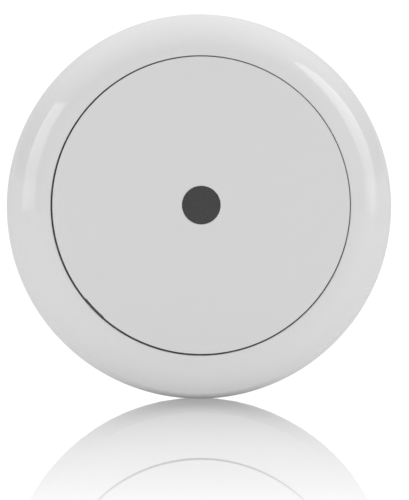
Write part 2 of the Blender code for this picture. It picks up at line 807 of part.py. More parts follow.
def build_tamper():
    """A spring-loaded plunger between the ramp on the wall plate and a switch on the board."""
    place = polar(TAMPER_RADIUS, TAMPER_ANGLE)
    switch_low = BOARD_BACK - FIT - 1.8 * MM
    switch = box(
        "tamper_switch", (4.2 * MM, 4.2 * MM, 1.8 * MM), (*place, switch_low + 0.9 * MM)
    )
    join(switch, cylinder("tamper_nub", 1.0 * MM, switch_low - 0.4 * MM, BOARD_BACK - 1 * MM, place))
    paint(switch, "black_plastic")
    pin, collar, stem = 1.8 * MM, 4.0 * MM, 1.0 * MM
    collar_back = FLOOR_FRONT + FIT + TAMPER_TRAVEL
    collar_front = collar_back + 1.0 * MM
    stem_top = switch_low - 0.4 * MM - FIT
    profile = [
        (0.0, stem_top),
        (stem, stem_top),
        (stem, collar_front),
        (collar, collar_front),
        (collar, collar_back),
        (pin, collar_back),
    ]
    rounds = 5
    for i in range(rounds + 1):
        angle = math.pi / 2 * i / rounds
        profile.append((pin * math.cos(angle), TAMPER_TIP + pin * (1 - math.sin(angle))))
    profile[-1] = (0.0, TAMPER_TIP)
    plunger = turned("tamper_plunger", profile)
    plunger.location = (*place, 0.0)
    paint(plunger, "button_grey")
    thick = 0.3 * MM
    low = collar_front + FIT + thick
    high = BOARD_BACK - FIT - thick
    spring = wire("tamper_spring", coil_points(3.5 * MM, 3.5 * MM, high - low, 5), thick)
    spring.location = (*place, low)
    paint(spring, "steel")


# ---- battery ---------------------------------------------------------------------------


def along_x(obj, x):
    """Lays a piece made along z down along x, in the battery's bed."""
    obj.rotation_euler.y = math.pi / 2
    obj.location = (x, CELL_Y, CELL_Z)
    return obj


def build_battery_tray():
    half_length = TRAY_INSIDE / 2 + TRAY_END_WALL
    bed = CELL_RADIUS + FIT
    width = 2 * (bed + TRAY_WALL)
    middle = (TRAY_BACK + TRAY_FRONT) / 2
    tray = box(
        "battery_tray", (2 * half_length, width, TRAY_FRONT - TRAY_BACK), (0.0, CELL_Y, middle)
    )
    ear_low, ear_high, ear = 14.3 * MM, 16.3 * MM, 3.6 * MM
    for side in (-1, 1):
        x = side * TRAY_SCREW_X
        tongue = box(
            "ear_tongue",
            (TRAY_SCREW_X - half_length + 1 * MM, 2 * ear, ear_high - ear_low),
            (side * (TRAY_SCREW_X + half_length - 1 * MM) / 2, CELL_Y, (ear_low + ear_high) / 2),
        )
        join(tray, tongue, cylinder("ear", ear, ear_low, ear_high, (x, CELL_Y)))
        cut(tray, cylinder("ear_hole", 1.4 * MM, 13 * MM, 18 * MM, (x, CELL_Y), 12))
    trough = along_x(cylinder("trough", bed, 0.0, TRAY_INSIDE, steps=32), 0.0)
    mouth = box(
        "mouth", (TRAY_INSIDE, 2 * bed, 10 * MM), (0.0, CELL_Y, CELL_Z + 5 * MM)
    )
    cut(tray, trough, mouth)
    paint(tray, "black_plastic")


def build_battery():
    nub_end = TRAY_INSIDE / 2 - 2 * FIT - CONTACT_THICKNESS
    nub, bevel = 1.1 * MM, 0.6 * MM
    body = CELL_LENGTH - nub
    cell = turned(
        "battery_cell",
        [
            (0.0, nub),
            (3.0 * MM, nub),
            (3.2 * MM, nub - 0.3 * MM),
            (3.2 * MM, 0.0),
            (CELL_RADIUS - bevel, 0.0),
            (CELL_RADIUS, -bevel),
            (CELL_RADIUS, -body + bevel),
            (CELL_RADIUS - bevel, -body),
            (6.5 * MM, -body),
            (6.2 * MM, -body + 0.3 * MM),
            (0.0, -body + 0.3 * MM),
        ],
        32,
    )
    along_x(cell, nub_end - nub)
    paint(cell, "cell_sleeve")
    thick = 0.35 * MM
    cell_back = nub_end - CELL_LENGTH
    plate_face = -TRAY_INSIDE / 2 + FIT + CONTACT_THICKNESS
    length = cell_back - plate_face - 2 * FIT - 2 * thick
    spring = wire("battery_spring", coil_points(5.0 * MM, 2.6 * MM, length, 4), thick)
    along_x(spring, plate_face + FIT + thick)
    paint(spring, "steel")


def build_contact(name, side):
    """A contact plate that stands in the tray's end, with a solder tab over the end wall."""
    inside = TRAY_INSIDE / 2 - FIT - CONTACT_THICKNESS / 2
    tab_low = TRAY_FRONT + FIT
    low, high = 14.0 * MM, tab_low + CONTACT_THICKNESS
    plate = box(
        name, (CONTACT_THICKNESS, 12 * MM, high - low), (side * inside, CELL_Y, (low + high) / 2)
    )
    tab_end = 24.4 * MM
    tab = box(
        name + "_tab",
        (tab_end - inside, 5 * MM, CONTACT_THICKNESS * 0.9),
        (side * (tab_end + inside) / 2, CELL_Y, tab_low + CONTACT_THICKNESS / 2),
    )
    join(plate, tab)
    paint(plate, "steel")


def build_lead(name, side, finish):
    """A short lead from a contact's tab, over the tray's corner and into the board."""
    hole_x, hole_y = LEAD_HOLE
    route = [
        (23.2, -19.4, 23.9),
        (23.4, -18.9, 24.8),
        (23.8, -16.6, 25.6),
        (23.8, -12.4, 25.8),
        (23.0, -8.2, 25.2),
        (21.9, -5.4, 24.0),
        (hole_x / MM, hole_y / MM, 22.6),
        (hole_x / MM, hole_y / MM, 20.8),
        (hole_x / MM, hole_y / MM, 18.6),
    ]
    places = [(side * x * MM, y * MM, z * MM) for x, y, z in route]
    paint(wire(name, smooth_route(places, 4), 0.6 * MM), finish)


# ---- assembly --------------------------------------------------------------------------

clear_scene()
PARTS = new_collection("motion_sensor")
CUTTERS = new_collection("cutters")
DEVICE_AXIS = bpy.data.objects.new("device_axis", None)
PARTS.objects.link(DEVICE_AXIS)
DEVICE_AXIS.rotation_euler.x = math.pi / 2

MATERIALS = {
    "white_gloss": make_material("white_gloss", (0.80, 0.80, 0.80), 0.18),
    "white_satin": make_material("white_satin", (0.78, 0.78, 0.78), 0.42),
    "white_moulding": make_material("white_moulding", (0.76, 0.76, 0.75), 0.45),
    "smoked_lens": make_material("smoked_lens", (0.035, 0.035, 0.037), 0.30),
    "black_plastic": make_material("black_plastic", (0.03, 0.03, 0.03), 0.50),
    "black_rubber": make_material("black_rubber", (0.02, 0.02, 0.02), 0.80),
    "board_green": make_material("board_green", (0.02, 0.16, 0.07), 0.40),
    "board_blue": make_material("board_blue", (0.02, 0.07, 0.20), 0.40),
    "steel": make_material("steel", (0.62, 0.62, 0.60), 0.30, 1.0),
    "brass": make_material("brass", (0.78, 0.55, 0.25), 0.30, 1.0),
    "button_grey": make_material("button_grey", (0.32, 0.33, 0.34), 0.45),
    "trimmer_blue": make_material("trimmer_blue", (0.05, 0.18, 0.42), 0.45),
    "cell_sleeve": make_material("cell_sleeve", (0.10, 0.16, 0.30), 0.35),
    "lead_red": make_material("lead_red", (0.60, 0.03, 0.03), 0.45),
    "lead_black": make_material("lead_black", (0.02, 0.02, 0.02), 0.45),
}

build_wall_plate()
build_rear_shell()
build_bezel_ring()
build_screws()
build_front_disc()
build_lens()
build_main_board()
build_pir()
build_components()
build_antenna()
build_test_switch()
build_trimmer()
build_tamper()
build_battery_tray()
build_battery()
build_contact("positive_contact", 1)
build_contact("negative_contact", -1)
build_lead("positive_lead", 1, "lead_red")
build_lead("negative_lead", -1, "lead_black")
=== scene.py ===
"""Looks of a round wall-mounted motion sensor: glossy bezel ring, satin front disc, dark lens.

The CAD's own frame is kept: the wall is the XZ plane, the front faces -Y, and +Z is up.
Pieces are made in the device's frame, as (right, up, height above the wall), and stood
upright at the end.
"""

import json
import math

import bmesh
import bpy
from mathutils import Matrix, Vector

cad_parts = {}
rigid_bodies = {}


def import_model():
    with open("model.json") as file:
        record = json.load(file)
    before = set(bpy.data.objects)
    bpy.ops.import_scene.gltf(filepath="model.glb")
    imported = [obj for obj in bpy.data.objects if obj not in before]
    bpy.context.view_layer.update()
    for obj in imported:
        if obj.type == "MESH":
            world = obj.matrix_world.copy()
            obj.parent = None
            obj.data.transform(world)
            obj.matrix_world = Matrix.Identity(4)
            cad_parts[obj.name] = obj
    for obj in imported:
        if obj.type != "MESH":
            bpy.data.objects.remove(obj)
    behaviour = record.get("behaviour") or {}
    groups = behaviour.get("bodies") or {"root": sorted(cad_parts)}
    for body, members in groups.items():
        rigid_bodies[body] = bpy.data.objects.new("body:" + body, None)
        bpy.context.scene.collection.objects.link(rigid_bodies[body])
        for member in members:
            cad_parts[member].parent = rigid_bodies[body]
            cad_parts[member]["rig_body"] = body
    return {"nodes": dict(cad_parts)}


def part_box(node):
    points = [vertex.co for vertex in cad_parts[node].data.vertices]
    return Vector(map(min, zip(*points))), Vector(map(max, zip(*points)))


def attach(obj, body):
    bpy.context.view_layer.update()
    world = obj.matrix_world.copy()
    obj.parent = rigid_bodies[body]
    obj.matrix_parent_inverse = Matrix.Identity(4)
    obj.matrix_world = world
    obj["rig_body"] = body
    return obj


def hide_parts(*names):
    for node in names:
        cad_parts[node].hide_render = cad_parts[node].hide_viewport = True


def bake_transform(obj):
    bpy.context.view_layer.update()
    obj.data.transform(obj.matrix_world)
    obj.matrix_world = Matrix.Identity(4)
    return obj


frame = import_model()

bpy.context.view_layer.update()

MM = 0.001
NODES = frame["nodes"]
UPRIGHT = Matrix.Rotation(math.pi / 2, 4, "X")

# Bezel ring, as in the CAD. Heights are above the wall.
BODY_RADIUS = 55.0 * MM
WIDEST = 11.0 * MM  # height of the widest plane
FIT = 0.3 * MM  # gap between pieces that touch
RIM = 34.5 * MM  # height of the seam
CREASE_RADIUS = 52.5 * MM
CREASE = 24.0 * MM
CREASE_ROUNDING = 1.2 * MM
CREASE_BLEND = 0.8 * MM  # the gloss fades into the side's satin this far around the crease
FIRST_SLOPE = 0.12
SIDE_BULGE = 0.2 * MM
WALL = 2.2 * MM
SEAM_RADIUS = 41.0 * MM
EDGE = 0.35 * MM  # rounding of both edges along the seam
POCKET_RADIUS = 43.0 * MM
LEDGE_RADIUS = 38.0 * MM
LEDGE_BACK, LEDGE_FRONT = 26.0 * MM, 28.0 * MM
BOSS_CIRCLE = 46.2 * MM
BOSS_BORE, BOSS_RADIUS = 1.6 * MM, 3.4 * MM
BOSS_BACK, BOSS_FRONT = 12.3 * MM, 27.0 * MM
BOSS_ANGLES = (30, 150, 270)

# Front disc
SEAM_GAP = 0.37 * MM
DISC_RADIUS = SEAM_RADIUS - SEAM_GAP
DISC_CROWN = 1.8 * MM
DISC_WALL = 2.0 * MM
DISC_PLAY = (0.12 * MM, 0.08 * MM)  # the disc sits a little off centre in its recess
SKIRT_WALL = 1.6 * MM
SKIRT_BACK = 28.3 * MM
NOTCH_ANGLE = 224
NOTCH_HALF_WIDTH = 3.3 * MM
NOTCH_DEPTH = 0.2 * MM
NOTCH_RAMP = 0.4 * MM
RIM_BACK, RIM_WIDTH = 30.5 * MM, 0.9 * MM  # the part of the disc's edge that the notch moves
FINGER_ANGLES = (90, 210, 330)
FINGER_SIZE, FINGER_CENTRE = Vector((1.0, 8.0, 9.0)) * MM, (36.7 * MM, 0.0, 29.1 * MM)
BARB_SIZE, BARB_CENTRE = Vector((1.0, 7.4, 1.0)) * MM, (37.2 * MM, 0.0, 25.2 * MM)
FINGER_BEVEL = 0.2 * MM

# Window, and the collar behind the disc that it sits in
LENS_HOLE = 5.22 * MM
LENS_RADIUS = 5.15 * MM
LENS_PROUD = 0.4 * MM
LENS_EDGE = 0.12 * MM
FLANGE_RADIUS, FLANGE_WALL = 6.6 * MM, 1.0 * MM
COLLAR_BORE, COLLAR_RADIUS, COLLAR_BACK = 7.0 * MM, 8.4 * MM, 30.5 * MM

# Inside
BOARD = 21.0 * MM  # front of the main board
SPRING_RADIUS = 3.5 * MM
SPRING_WIRE = 0.3 * MM
SPRING_TURNS = 5


# ---- shader helpers --------------------------------------------------------------------


class Shader:
    """A Principled material with short calls for the texture nodes that shape it."""

    def __init__(self, name, colour, roughness, metallic=0.0, **sockets):
        self.material = bpy.data.materials.new(name)
        self.material.use_nodes = True
        self.tree = self.material.node_tree
        self.main = self.tree.nodes["Principled BSDF"]
        self.main.inputs["Base Color"].default_value = (*colour, 1.0)
        self.main.inputs["Roughness"].default_value = roughness
        self.main.inputs["Metallic"].default_value = metallic
        for socket, value in sockets.items():
            self.main.inputs[socket.replace("_", " ")].default_value = value
        self.place = self.node("ShaderNodeTexCoord").outputs["Object"]
        self.relief = None

    def node(self, kind, **settings):
        made = self.tree.nodes.new(kind)
        for key, value in settings.items():
            setattr(made, key, value)
        return made

    def link(self, source, target):
        self.tree.links.new(source, target)

    def stretched(self, scale):
        """Object coordinates scaled by a vector, so that a texture runs long one way."""
        mapping = self.node("ShaderNodeMapping")
        mapping.inputs["Scale"].default_value = scale
        self.link(self.place, mapping.inputs["Vector"])
        return mapping.outputs["Vector"]

    def noise(self, size, detail=2.0):
        """Noise whose features are about size metres across."""
        texture = self.node("ShaderNodeTexNoise")
        texture.inputs["Scale"].default_value = 1.0 / size
        texture.inputs["Detail"].default_value = detail
        self.link(self.place, texture.inputs["Vector"])
        return texture.outputs["Fac"]

    def cells(self, size, place=None, **settings):
        """Voronoi distance over cells about size metres across."""
        texture = self.node("ShaderNodeTexVoronoi", **settings)
        texture.inputs["Scale"].default_value = 1.0 / size
        self.link(place or self.place, texture.inputs["Vector"])
        return texture.outputs["Distance"]

    def math(self, operation, first, second):
        """Arithmetic on two values. Each is a float or a socket."""
        made = self.node("ShaderNodeMath", operation=operation)
        for socket, value in zip(made.inputs, (first, second)):
            if isinstance(value, float):
                socket.default_value = value
            else:
                self.link(value, socket)
        return made.outputs["Value"]

    def spread(self, source, low, high, low_in=0.3, high_in=0.7):
        """Maps low_in..high_in onto low..high. A noise texture stays mostly in 0.3..0.7."""
        made = self.node("ShaderNodeMapRange")
        made.inputs["From Min"].default_value = low_in
        made.inputs["From Max"].default_value = high_in
        made.inputs["To Min"].default_value = low
        made.inputs["To Max"].default_value = high
        self.link(source, made.inputs["Value"])
        return made.outputs["Result"]

    def mix(self, factor, first, second):
        """A colour between two others. Each is a colour or a socket."""
        made = self.node("ShaderNodeMix", data_type="RGBA")
        self.link(factor, made.inputs["Factor"])
        for socket, value in ((made.inputs["A"], first), (made.inputs["B"], second)):
            if isinstance(value, tuple):
                socket.default_value = (*value, 1.0)
            else:
                self.link(value, socket)
        return made.outputs["Result"]

    def colour(self, source):
        self.link(source, self.main.inputs["Base Color"])

    def roughness(self, source):
        self.link(source, self.main.inputs["Roughness"])

    def bump(self, source, depth):
        """Adds relief of depth metres. Calls stack."""
        made = self.node("ShaderNodeBump")
        made.inputs["Distance"].default_value = depth
        self.link(source, made.inputs["Height"])
        if self.relief:
            self.link(self.relief, made.inputs["Normal"])
        self.relief = made.outputs["Normal"]
        self.link(self.relief, self.main.inputs["Normal"])


def shade(colour, factor):
    """A colour made lighter or darker."""
    return tuple(min(1.0, c * factor) for c in colour)


# ---- materials -------------------------------------------------------------------------


def moulded(name, colour, roughness, grain, depth, variation=0.02):
    """A moulded plastic: spark-eroded grain, slight flow marks and uneven gloss."""
    s = Shader(name, colour, roughness)
    flow = s.noise(0.018, 3.0)
    s.colour(s.mix(flow, shade(colour, 1 - variation), shade(colour, 1 + variation)))
    s.roughness(s.spread(s.noise(0.004, 3.0), roughness * 0.88, roughness * 1.12))
    s.bump(s.noise(grain, 2.0), depth)
    return s.material


def glossy_white():
    """Polished white plastic with a faint flow pattern and slight waviness, satin on its side."""
    colour = (0.80, 0.80, 0.80)
    s = Shader("white_gloss_moulding", colour, 0.08, IOR=1.5)
    flow = s.noise(0.030, 2.0)
    s.colour(s.mix(flow, shade(colour, 0.993), shade(colour, 1.007)))
    depth = s.node("ShaderNodeSeparateXYZ")
    s.link(s.place, depth.inputs["Vector"])

    def by_height(front, side):
        low_in, high_in = -CREASE - CREASE_BLEND, -CREASE + CREASE_BLEND
        return s.spread(depth.outputs["Y"], front, side, low_in, high_in)

    s.link(by_height(0.5, 0.1), s.main.inputs["Specular IOR Level"])
    s.roughness(s.math("ADD", s.spread(s.noise(0.006, 3.0), 0.06, 0.10), by_height(0.0, 0.3)))
    s.bump(s.noise(0.0045, 1.0), 0.000004)
    return s.material


def metal(name, colour, roughness):
    """Plated or drawn metal with fine scratches and cloudy patches."""
    s = Shader(name, colour, roughness, 1.0)
    brushed = s.noise(0.0004, 4.0)
    s.colour(s.mix(s.noise(0.003, 3.0), shade(colour, 0.86), shade(colour, 1.06)))
    s.roughness(s.spread(brushed, roughness * 0.7, roughness * 1.5))
    s.bump(brushed, 0.000008)
    return s.material


def circuit_board(name, mask, copper, cell):
    """Solder mask over copper areas that narrow gaps part, with tinned holes between them, each
    painted near-black in its middle as shade.
    """
    s = Shader(name, mask, 0.32, Coat_Weight=0.4, Coat_Roughness=0.15)
    flat = s.stretched((1.0, 0.02, 1.0))
    near = s.cells(cell, place=flat, distance="CHEBYCHEV")
    far = s.cells(cell, place=flat, distance="CHEBYCHEV", feature="F2")
    islands = s.spread(s.math("SUBTRACT", far, near), 0.0, 1.0, 0.07, 0.09)
    weave = s.noise(0.0006, 2.0)
    laminate = s.mix(weave, shade(mask, 0.80), shade(mask, 1.0))
    covered = s.mix(islands, laminate, copper)
    holes = s.cells(cell * 0.85, place=flat)
    rim = s.spread(holes, 1.0, 0.0, 0.115, 0.125)
    shaded_bore = s.spread(holes, 1.0, 0.0, 0.055, 0.065)
    tinned = s.mix(rim, covered, (0.62, 0.60, 0.55))
    # painted shade: the middle of each hole is coloured near-black, standing in for the shade
    # inside it
    s.colour(s.mix(shaded_bore, tinned, (0.004, 0.006, 0.005)))
    s.link(s.math("SUBTRACT", rim, shaded_bore), s.main.inputs["Metallic"])
    s.roughness(s.spread(s.noise(0.002, 2.0), 0.26, 0.40))
    s.bump(s.math("MAXIMUM", islands, rim), 0.00004)
    return s.material


def smoked_lens():
    """Dark, nearly opaque plastic with a fine, soft surface."""
    colour = (0.032, 0.032, 0.033)
    s = Shader("smoked_lens_plastic", colour, 0.28, IOR=1.52)
    s.colour(s.mix(s.noise(0.0016, 3.0), shade(colour, 0.92), shade(colour, 1.08)))
    s.roughness(s.spread(s.noise(0.0006, 3.0), 0.24, 0.33))
    s.bump(s.noise(0.00018, 2.0), 0.0000035)
    return s.material


def foam():
    """Black foam rubber with open cells, darker in their hollows as painted shade."""
    colour = (0.020, 0.020, 0.021)
    s = Shader("foam_rubber", colour, 0.85)
    pores_and_shade = s.cells(0.0005)
    # painted shade: the colour darkens towards each cell's centre, where the bump makes a hollow
    s.colour(s.mix(pores_and_shade, shade(colour, 0.4), shade(colour, 1.7)))
    s.bump(pores_and_shade, 0.00012)
    return s.material


def cell_sleeve():
    """A printed sleeve: blue, then gold towards the positive end, and bare metal ends."""
    s = Shader("cell_sleeve_print", (0.1, 0.16, 0.3), 0.28, Coat_Weight=0.3)
    along = s.node("ShaderNodeSeparateXYZ")
    s.link(s.place, along.inputs["Vector"])
    low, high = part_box("battery_cell")
    blue = 24.0 * MM
    band = s.spread(along.outputs["X"], 0.0, 1.0, low.x + blue, low.x + blue + 0.2 * MM)
    body = s.mix(band, (0.03, 0.09, 0.28), (0.75, 0.50, 0.12))
    tip = s.spread(along.outputs["X"], 0.0, 1.0, high.x - 1.75 * MM, high.x - 1.70 * MM)
    end = s.spread(along.outputs["X"], 1.0, 0.0, low.x + 0.55 * MM, low.x + 0.6 * MM)
    bare = s.math("MAXIMUM", tip, end)
    s.colour(s.mix(bare, body, (0.62, 0.62, 0.60)))
    s.link(bare, s.main.inputs["Metallic"])
    s.roughness(s.spread(s.noise(0.001, 3.0), 0.24, 0.34))
    s.bump(s.noise(0.0012, 2.0), 0.00001)
    return s.material


GREEN_MASK, GREEN_COPPER = (0.012, 0.095, 0.040), (0.022, 0.150, 0.062)
BLUE_MASK, BLUE_COPPER = (0.010, 0.040, 0.15), (0.020, 0.075, 0.23)

MATERIALS = {
    "white_gloss": glossy_white(),
    "white_satin": moulded("white_satin_moulding", (0.79,) * 3, 0.42, 0.00022, 0.000006, 0.004),
    "white_moulding": moulded("white_plain_moulding", (0.76, 0.76, 0.755), 0.46, 0.0003, 0.00001),
    "smoked_lens": smoked_lens(),
    "black_plastic": moulded("black_moulding", (0.028,) * 3, 0.48, 0.00025, 0.000014, 0.10),
    "black_rubber": foam(),
    "board_green": circuit_board("board_green_mask", GREEN_MASK, GREEN_COPPER, 0.0050),
    "board_blue": circuit_board("board_blue_mask", BLUE_MASK, BLUE_COPPER, 0.0036),
    "steel": metal("plated_steel", (0.62, 0.62, 0.60), 0.28),
    "brass": metal("drawn_brass", (0.80, 0.52, 0.20), 0.25),
    "button_grey": moulded("button_moulding", (0.30, 0.31, 0.32), 0.45, 0.0002, 0.00001, 0.04),
    "trimmer_blue": moulded("trimmer_moulding", (0.03, 0.13, 0.38), 0.40, 0.0002, 0.00001, 0.05),
    "cell_sleeve": cell_sleeve(),
    "lead_red": moulded("red_insulation", (0.55, 0.02, 0.02), 0.38, 0.0005, 0.00002, 0.05),
    "lead_black": moulded("black_insulation", (0.02,) * 3, 0.38, 0.0005, 0.00002, 0.10),
}


# ---- mesh helpers ----------------------------------------------------------------------


def slot_of(node):
    """The name of the material that the CAD gave a node."""
    return node.data.materials[0].name.split(".")[0]


def new_piece(name, cage, body, slot, angle=40):
    """A finished piece from a cage in the device's frame. It rides on body, if there is one."""
    bmesh.ops.recalc_face_normals(cage, faces=cage.faces)
    mesh = bpy.data.meshes.new(name)
    cage.to_mesh(mesh)
    cage.free()
    mesh.transform(UPRIGHT)
    mesh.shade_smooth()
    mesh.set_sharp_from_angle(angle=math.radians(angle))
    obj = bpy.data.objects.new(name, mesh)
    bpy.context.scene.collection.objects.link(obj)
    mesh.materials.append(MATERIALS[slot])
    if body:
        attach(obj, body)
    return obj


def stand_in(name, cage, node):
    """A finished piece that shows in place of a CAD node."""
    piece = new_piece(name, cage, NODES[node]["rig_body"], slot_of(NODES[node]))
    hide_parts(node)


def turned_rows(cage, profile, steps, centre):
    """Adds the profile's (radius, height) points at each step of a turn about z."""
    rows = []
    for i in range(steps):
        angle = 2 * math.pi * i / steps
        c, s = math.cos(angle), math.sin(angle)
        points = [(centre[0] + r * c, centre[1] + r * s, z) for r, z in profile]
        rows.append([cage.verts.new(point) for point in points])
    return rows


def add_turned(cage, profile, steps, centre=(0.0, 0.0)):
    """Adds a ring whose closed section is the profile, turned about z."""
    rings = turned_rows(cage, profile, steps, centre)
    count = len(profile)
    for i in range(steps):
        here, there = rings[i], rings[(i + 1) % steps]
        for j in range(count):
            k = (j + 1) % count
            cage.faces.new((here[j], there[j], there[k], here[k]))


def add_domed(cage, profile, steps=128, centre=(0.0, 0.0)):
    """Adds a solid whose open profile starts and ends on the axis."""
    top = cage.verts.new((*centre, profile[0][1]))
    bottom = cage.verts.new((*centre, profile[-1][1]))
    rings = turned_rows(cage, profile[1:-1], steps, centre)
    for i in range(steps):
        here, there = rings[i], rings[(i + 1) % steps]
        cage.faces.new((top, here[0], there[0]))
        for j in range(len(here) - 1):
            cage.faces.new((here[j], here[j + 1], there[j + 1], there[j]))
        cage.faces.new((bottom, there[-1], here[-1]))


def add_block(cage, size, centre, bevel=0.0):
    """Adds a box, with bevelled edges if bevel isn't zero."""
    made = bmesh.ops.create_cube(cage, size=1.0)["verts"]
    bmesh.ops.scale(cage, vec=size, verts=made)
    bmesh.ops.translate(cage, vec=centre, verts=made)
    if bevel:
        edges = list(dict.fromkeys(edge for vert in made for edge in vert.link_edges))
        bmesh.ops.bevel(cage, geom=edges, offset=bevel, segments=2, profile=0.5, affect="EDGES")


def fillet(corner, start, end, radius, count=5):
    """Points of an arc that rounds a corner between the directions to start and end."""
    c, a, b = Vector(corner), Vector(start), Vector(end)
    u, v = (a - c).normalized(), (b - c).normalized()
    half = u.angle(v) / 2
    reach = radius / math.tan(half)
    centre = c + (u + v).normalized() * (radius / math.sin(half))
    p, q = c + u * reach - centre, c + v * reach - centre
    turn = p.angle(q)
    points = []
    for i in range(count + 1):
        t = i / count
        w = (p * math.sin((1 - t) * turn) + q * math.sin(t * turn)) / math.sin(turn)
        points.append(tuple(centre + w))
    return points


def between(first, last, count):
    """Evenly spaced values from first to last."""
    return [first + (last - first) * i / (count - 1) for i in range(count)]


# ---- bezel ring ------------------------------------------------------------------------


def bezel_slope(radius):
    """How steeply the front falls at a radius, so that it meets the crease at its height."""
    share = (radius - SEAM_RADIUS) / (CREASE_RADIUS - SEAM_RADIUS)
    last = 2 * (RIM - CREASE) / (CREASE_RADIUS - SEAM_RADIUS) - FIRST_SLOPE
    return FIRST_SLOPE + (last - FIRST_SLOPE) * share


def bezel_front(radius):
    """A point of the rounded front, which steepens evenly from the seam to the crease."""
    return radius, RIM - (radius - SEAM_RADIUS) * (FIRST_SLOPE + bezel_slope(radius)) / 2


def bezel_side(share):
    """A point of the side, from the crease at 0 to the widest plane at 1."""
    bulge = 4 * SIDE_BULGE * share * (1 - share)
    radius = CREASE_RADIUS + (BODY_RADIUS - CREASE_RADIUS) * share + bulge
    return radius, CREASE + (WIDEST + FIT - CREASE) * share


def inwards(points):
    """The points of a curve moved inwards by the wall's thickness."""
    moved = []
    for i in range(1, len(points) - 1):
        along = Vector(points[i + 1]) - Vector(points[i - 1])
        normal = Vector((along.y, -along.x)).normalized()
        moved.append(tuple(Vector(points[i]) + normal * WALL))
    return moved


def build_bezel():
    """The ring's shell with its ledge for the disc, and the bosses for the housing screws."""
    front = [bezel_front(r) for r in between(SEAM_RADIUS + EDGE, CREASE_RADIUS - 0.3 * MM, 48)]
    side = [bezel_side(share) for share in between(0.04, 1.0, 20)]
    corner = (SEAM_RADIUS, bezel_front(SEAM_RADIUS + EDGE)[1] + 0.04 * MM)
    lip = fillet(corner, (SEAM_RADIUS, 30 * MM), front[1], EDGE)
    crease = fillet((CREASE_RADIUS, CREASE), front[-1], side[0], CREASE_ROUNDING)
    within = inwards([bezel_front(r) for r in between(45 * MM, CREASE_RADIUS, 14)])
    back = [(BODY_RADIUS - WALL, WIDEST + FIT), (51.7 * MM, 18.0 * MM), (50.6 * MM, 22.5 * MM)]
    profile = lip + front[1:] + crease + side + back + within[::-1]
    profile += [
        (POCKET_RADIUS, 31.4 * MM),
        (POCKET_RADIUS, LEDGE_BACK),
        (LEDGE_RADIUS, LEDGE_BACK),
        (LEDGE_RADIUS, LEDGE_FRONT),
        (SEAM_RADIUS, LEDGE_FRONT),
    ]
    cage = bmesh.new()
    add_turned(cage, profile, 360)
    boss = [
        (BOSS_RADIUS, BOSS_BACK),
        (BOSS_BORE, BOSS_BACK),
        (BOSS_BORE, BOSS_FRONT),
        (BOSS_RADIUS, BOSS_FRONT),
    ]
    for angle in BOSS_ANGLES:
        x = BOSS_CIRCLE * math.cos(math.radians(angle))
        y = BOSS_CIRCLE * math.sin(math.radians(angle))
        add_turned(cage, boss, 32, (x, y))
    stand_in("bezel_ring_skin", cage, "bezel_ring")


# ---- front disc and lens ---------------------------------------------------------------


def crown_height(radius):
    """Height of the disc's slightly domed face."""
    return RIM + DISC_CROWN * (1 - (radius / DISC_RADIUS) ** 2)


def cut_notch(cage):
    """Moves the disc's edge inwards over a short stretch, to leave a notch for a nail."""
    for vert in cage.verts:
        radius = math.hypot(vert.co.x, vert.co.y)
        if vert.co.z < RIM_BACK or radius < DISC_RADIUS - RIM_WIDTH:
            continue
        off = math.radians(NOTCH_ANGLE) - math.atan2(vert.co.y, vert.co.x)
        off = (off + math.pi) % (2 * math.pi) - math.pi
        share = min(1.0, (NOTCH_HALF_WIDTH + NOTCH_RAMP - abs(off) * radius) / NOTCH_RAMP)
        if share > 0:
            factor = (radius - NOTCH_DEPTH * share) / radius
            vert.co.x *= factor
            vert.co.y *= factor


def build_disc():
    """The disc with its skirt, the collar round the window and the three snap fingers."""
    first = LENS_HOLE + LENS_EDGE
    face = [(r, crown_height(r)) for r in between(first, DISC_RADIUS - EDGE, 25)]
    skirt = DISC_RADIUS - SKIRT_WALL
    corner = (DISC_RADIUS, crown_height(DISC_RADIUS))
    rim = fillet(corner, face[-1], (DISC_RADIUS, 30 * MM), EDGE)
    back = [(r, crown_height(r) - DISC_WALL) for r in between(skirt, COLLAR_RADIUS, 9)]
    flat = crown_height(0.0) - DISC_WALL
    profile = [(LENS_HOLE, crown_height(LENS_HOLE) - LENS_EDGE)] + face[:-1] + rim
    profile += [(DISC_RADIUS, SKIRT_BACK), (skirt, SKIRT_BACK)] + back
    profile += [(COLLAR_RADIUS, COLLAR_BACK), (COLLAR_BORE, COLLAR_BACK)]
    profile += [(COLLAR_BORE, flat), (LENS_HOLE, flat)]
    cage = bmesh.new()
    add_turned(cage, profile, 720)
    cut_notch(cage)
    for angle in FINGER_ANGLES:
        finger = bmesh.new()
        add_block(finger, FINGER_SIZE, FINGER_CENTRE, FINGER_BEVEL)
        add_block(finger, BARB_SIZE, BARB_CENTRE, FINGER_BEVEL)
        finger.transform(Matrix.Rotation(math.radians(angle), 4, "Z"))
        part = bpy.data.meshes.new("finger")
        finger.to_mesh(part)
        finger.free()
        cage.from_mesh(part)
        bpy.data.meshes.remove(part)
    cage.transform(Matrix.Translation((*DISC_PLAY, 0.0)))
    stand_in("front_disc_skin", cage, "front_disc")


def build_lens():
    """The window: a low dome whose flange rests behind the disc."""
    top = crown_height(0.0) + LENS_PROUD
    profile = []
    for share in between(0.0, 1.0, 21):
        profile.append((LENS_RADIUS * share * 0.97, top - LENS_PROUD * share**4 * 0.9))
    corner = (LENS_RADIUS, top - LENS_PROUD)
    profile += fillet(corner, profile[-1], (LENS_RADIUS, 34 * MM), LENS_EDGE, 4)
    flange_front = crown_height(0.0) - DISC_WALL - FIT
    profile += [
        (LENS_RADIUS, flange_front),
        (FLANGE_RADIUS, flange_front),
        (FLANGE_RADIUS, flange_front - FLANGE_WALL),
        (0.0, flange_front - FLANGE_WALL),
    ]
    cage = bmesh.new()
    add_domed(cage, profile)
    cage.transform(Matrix.Translation((*DISC_PLAY, 0.0)))
    stand_in("lens_window_skin", cage, "lens_window")


# ---- small parts on the main board -----------------------------------------------------

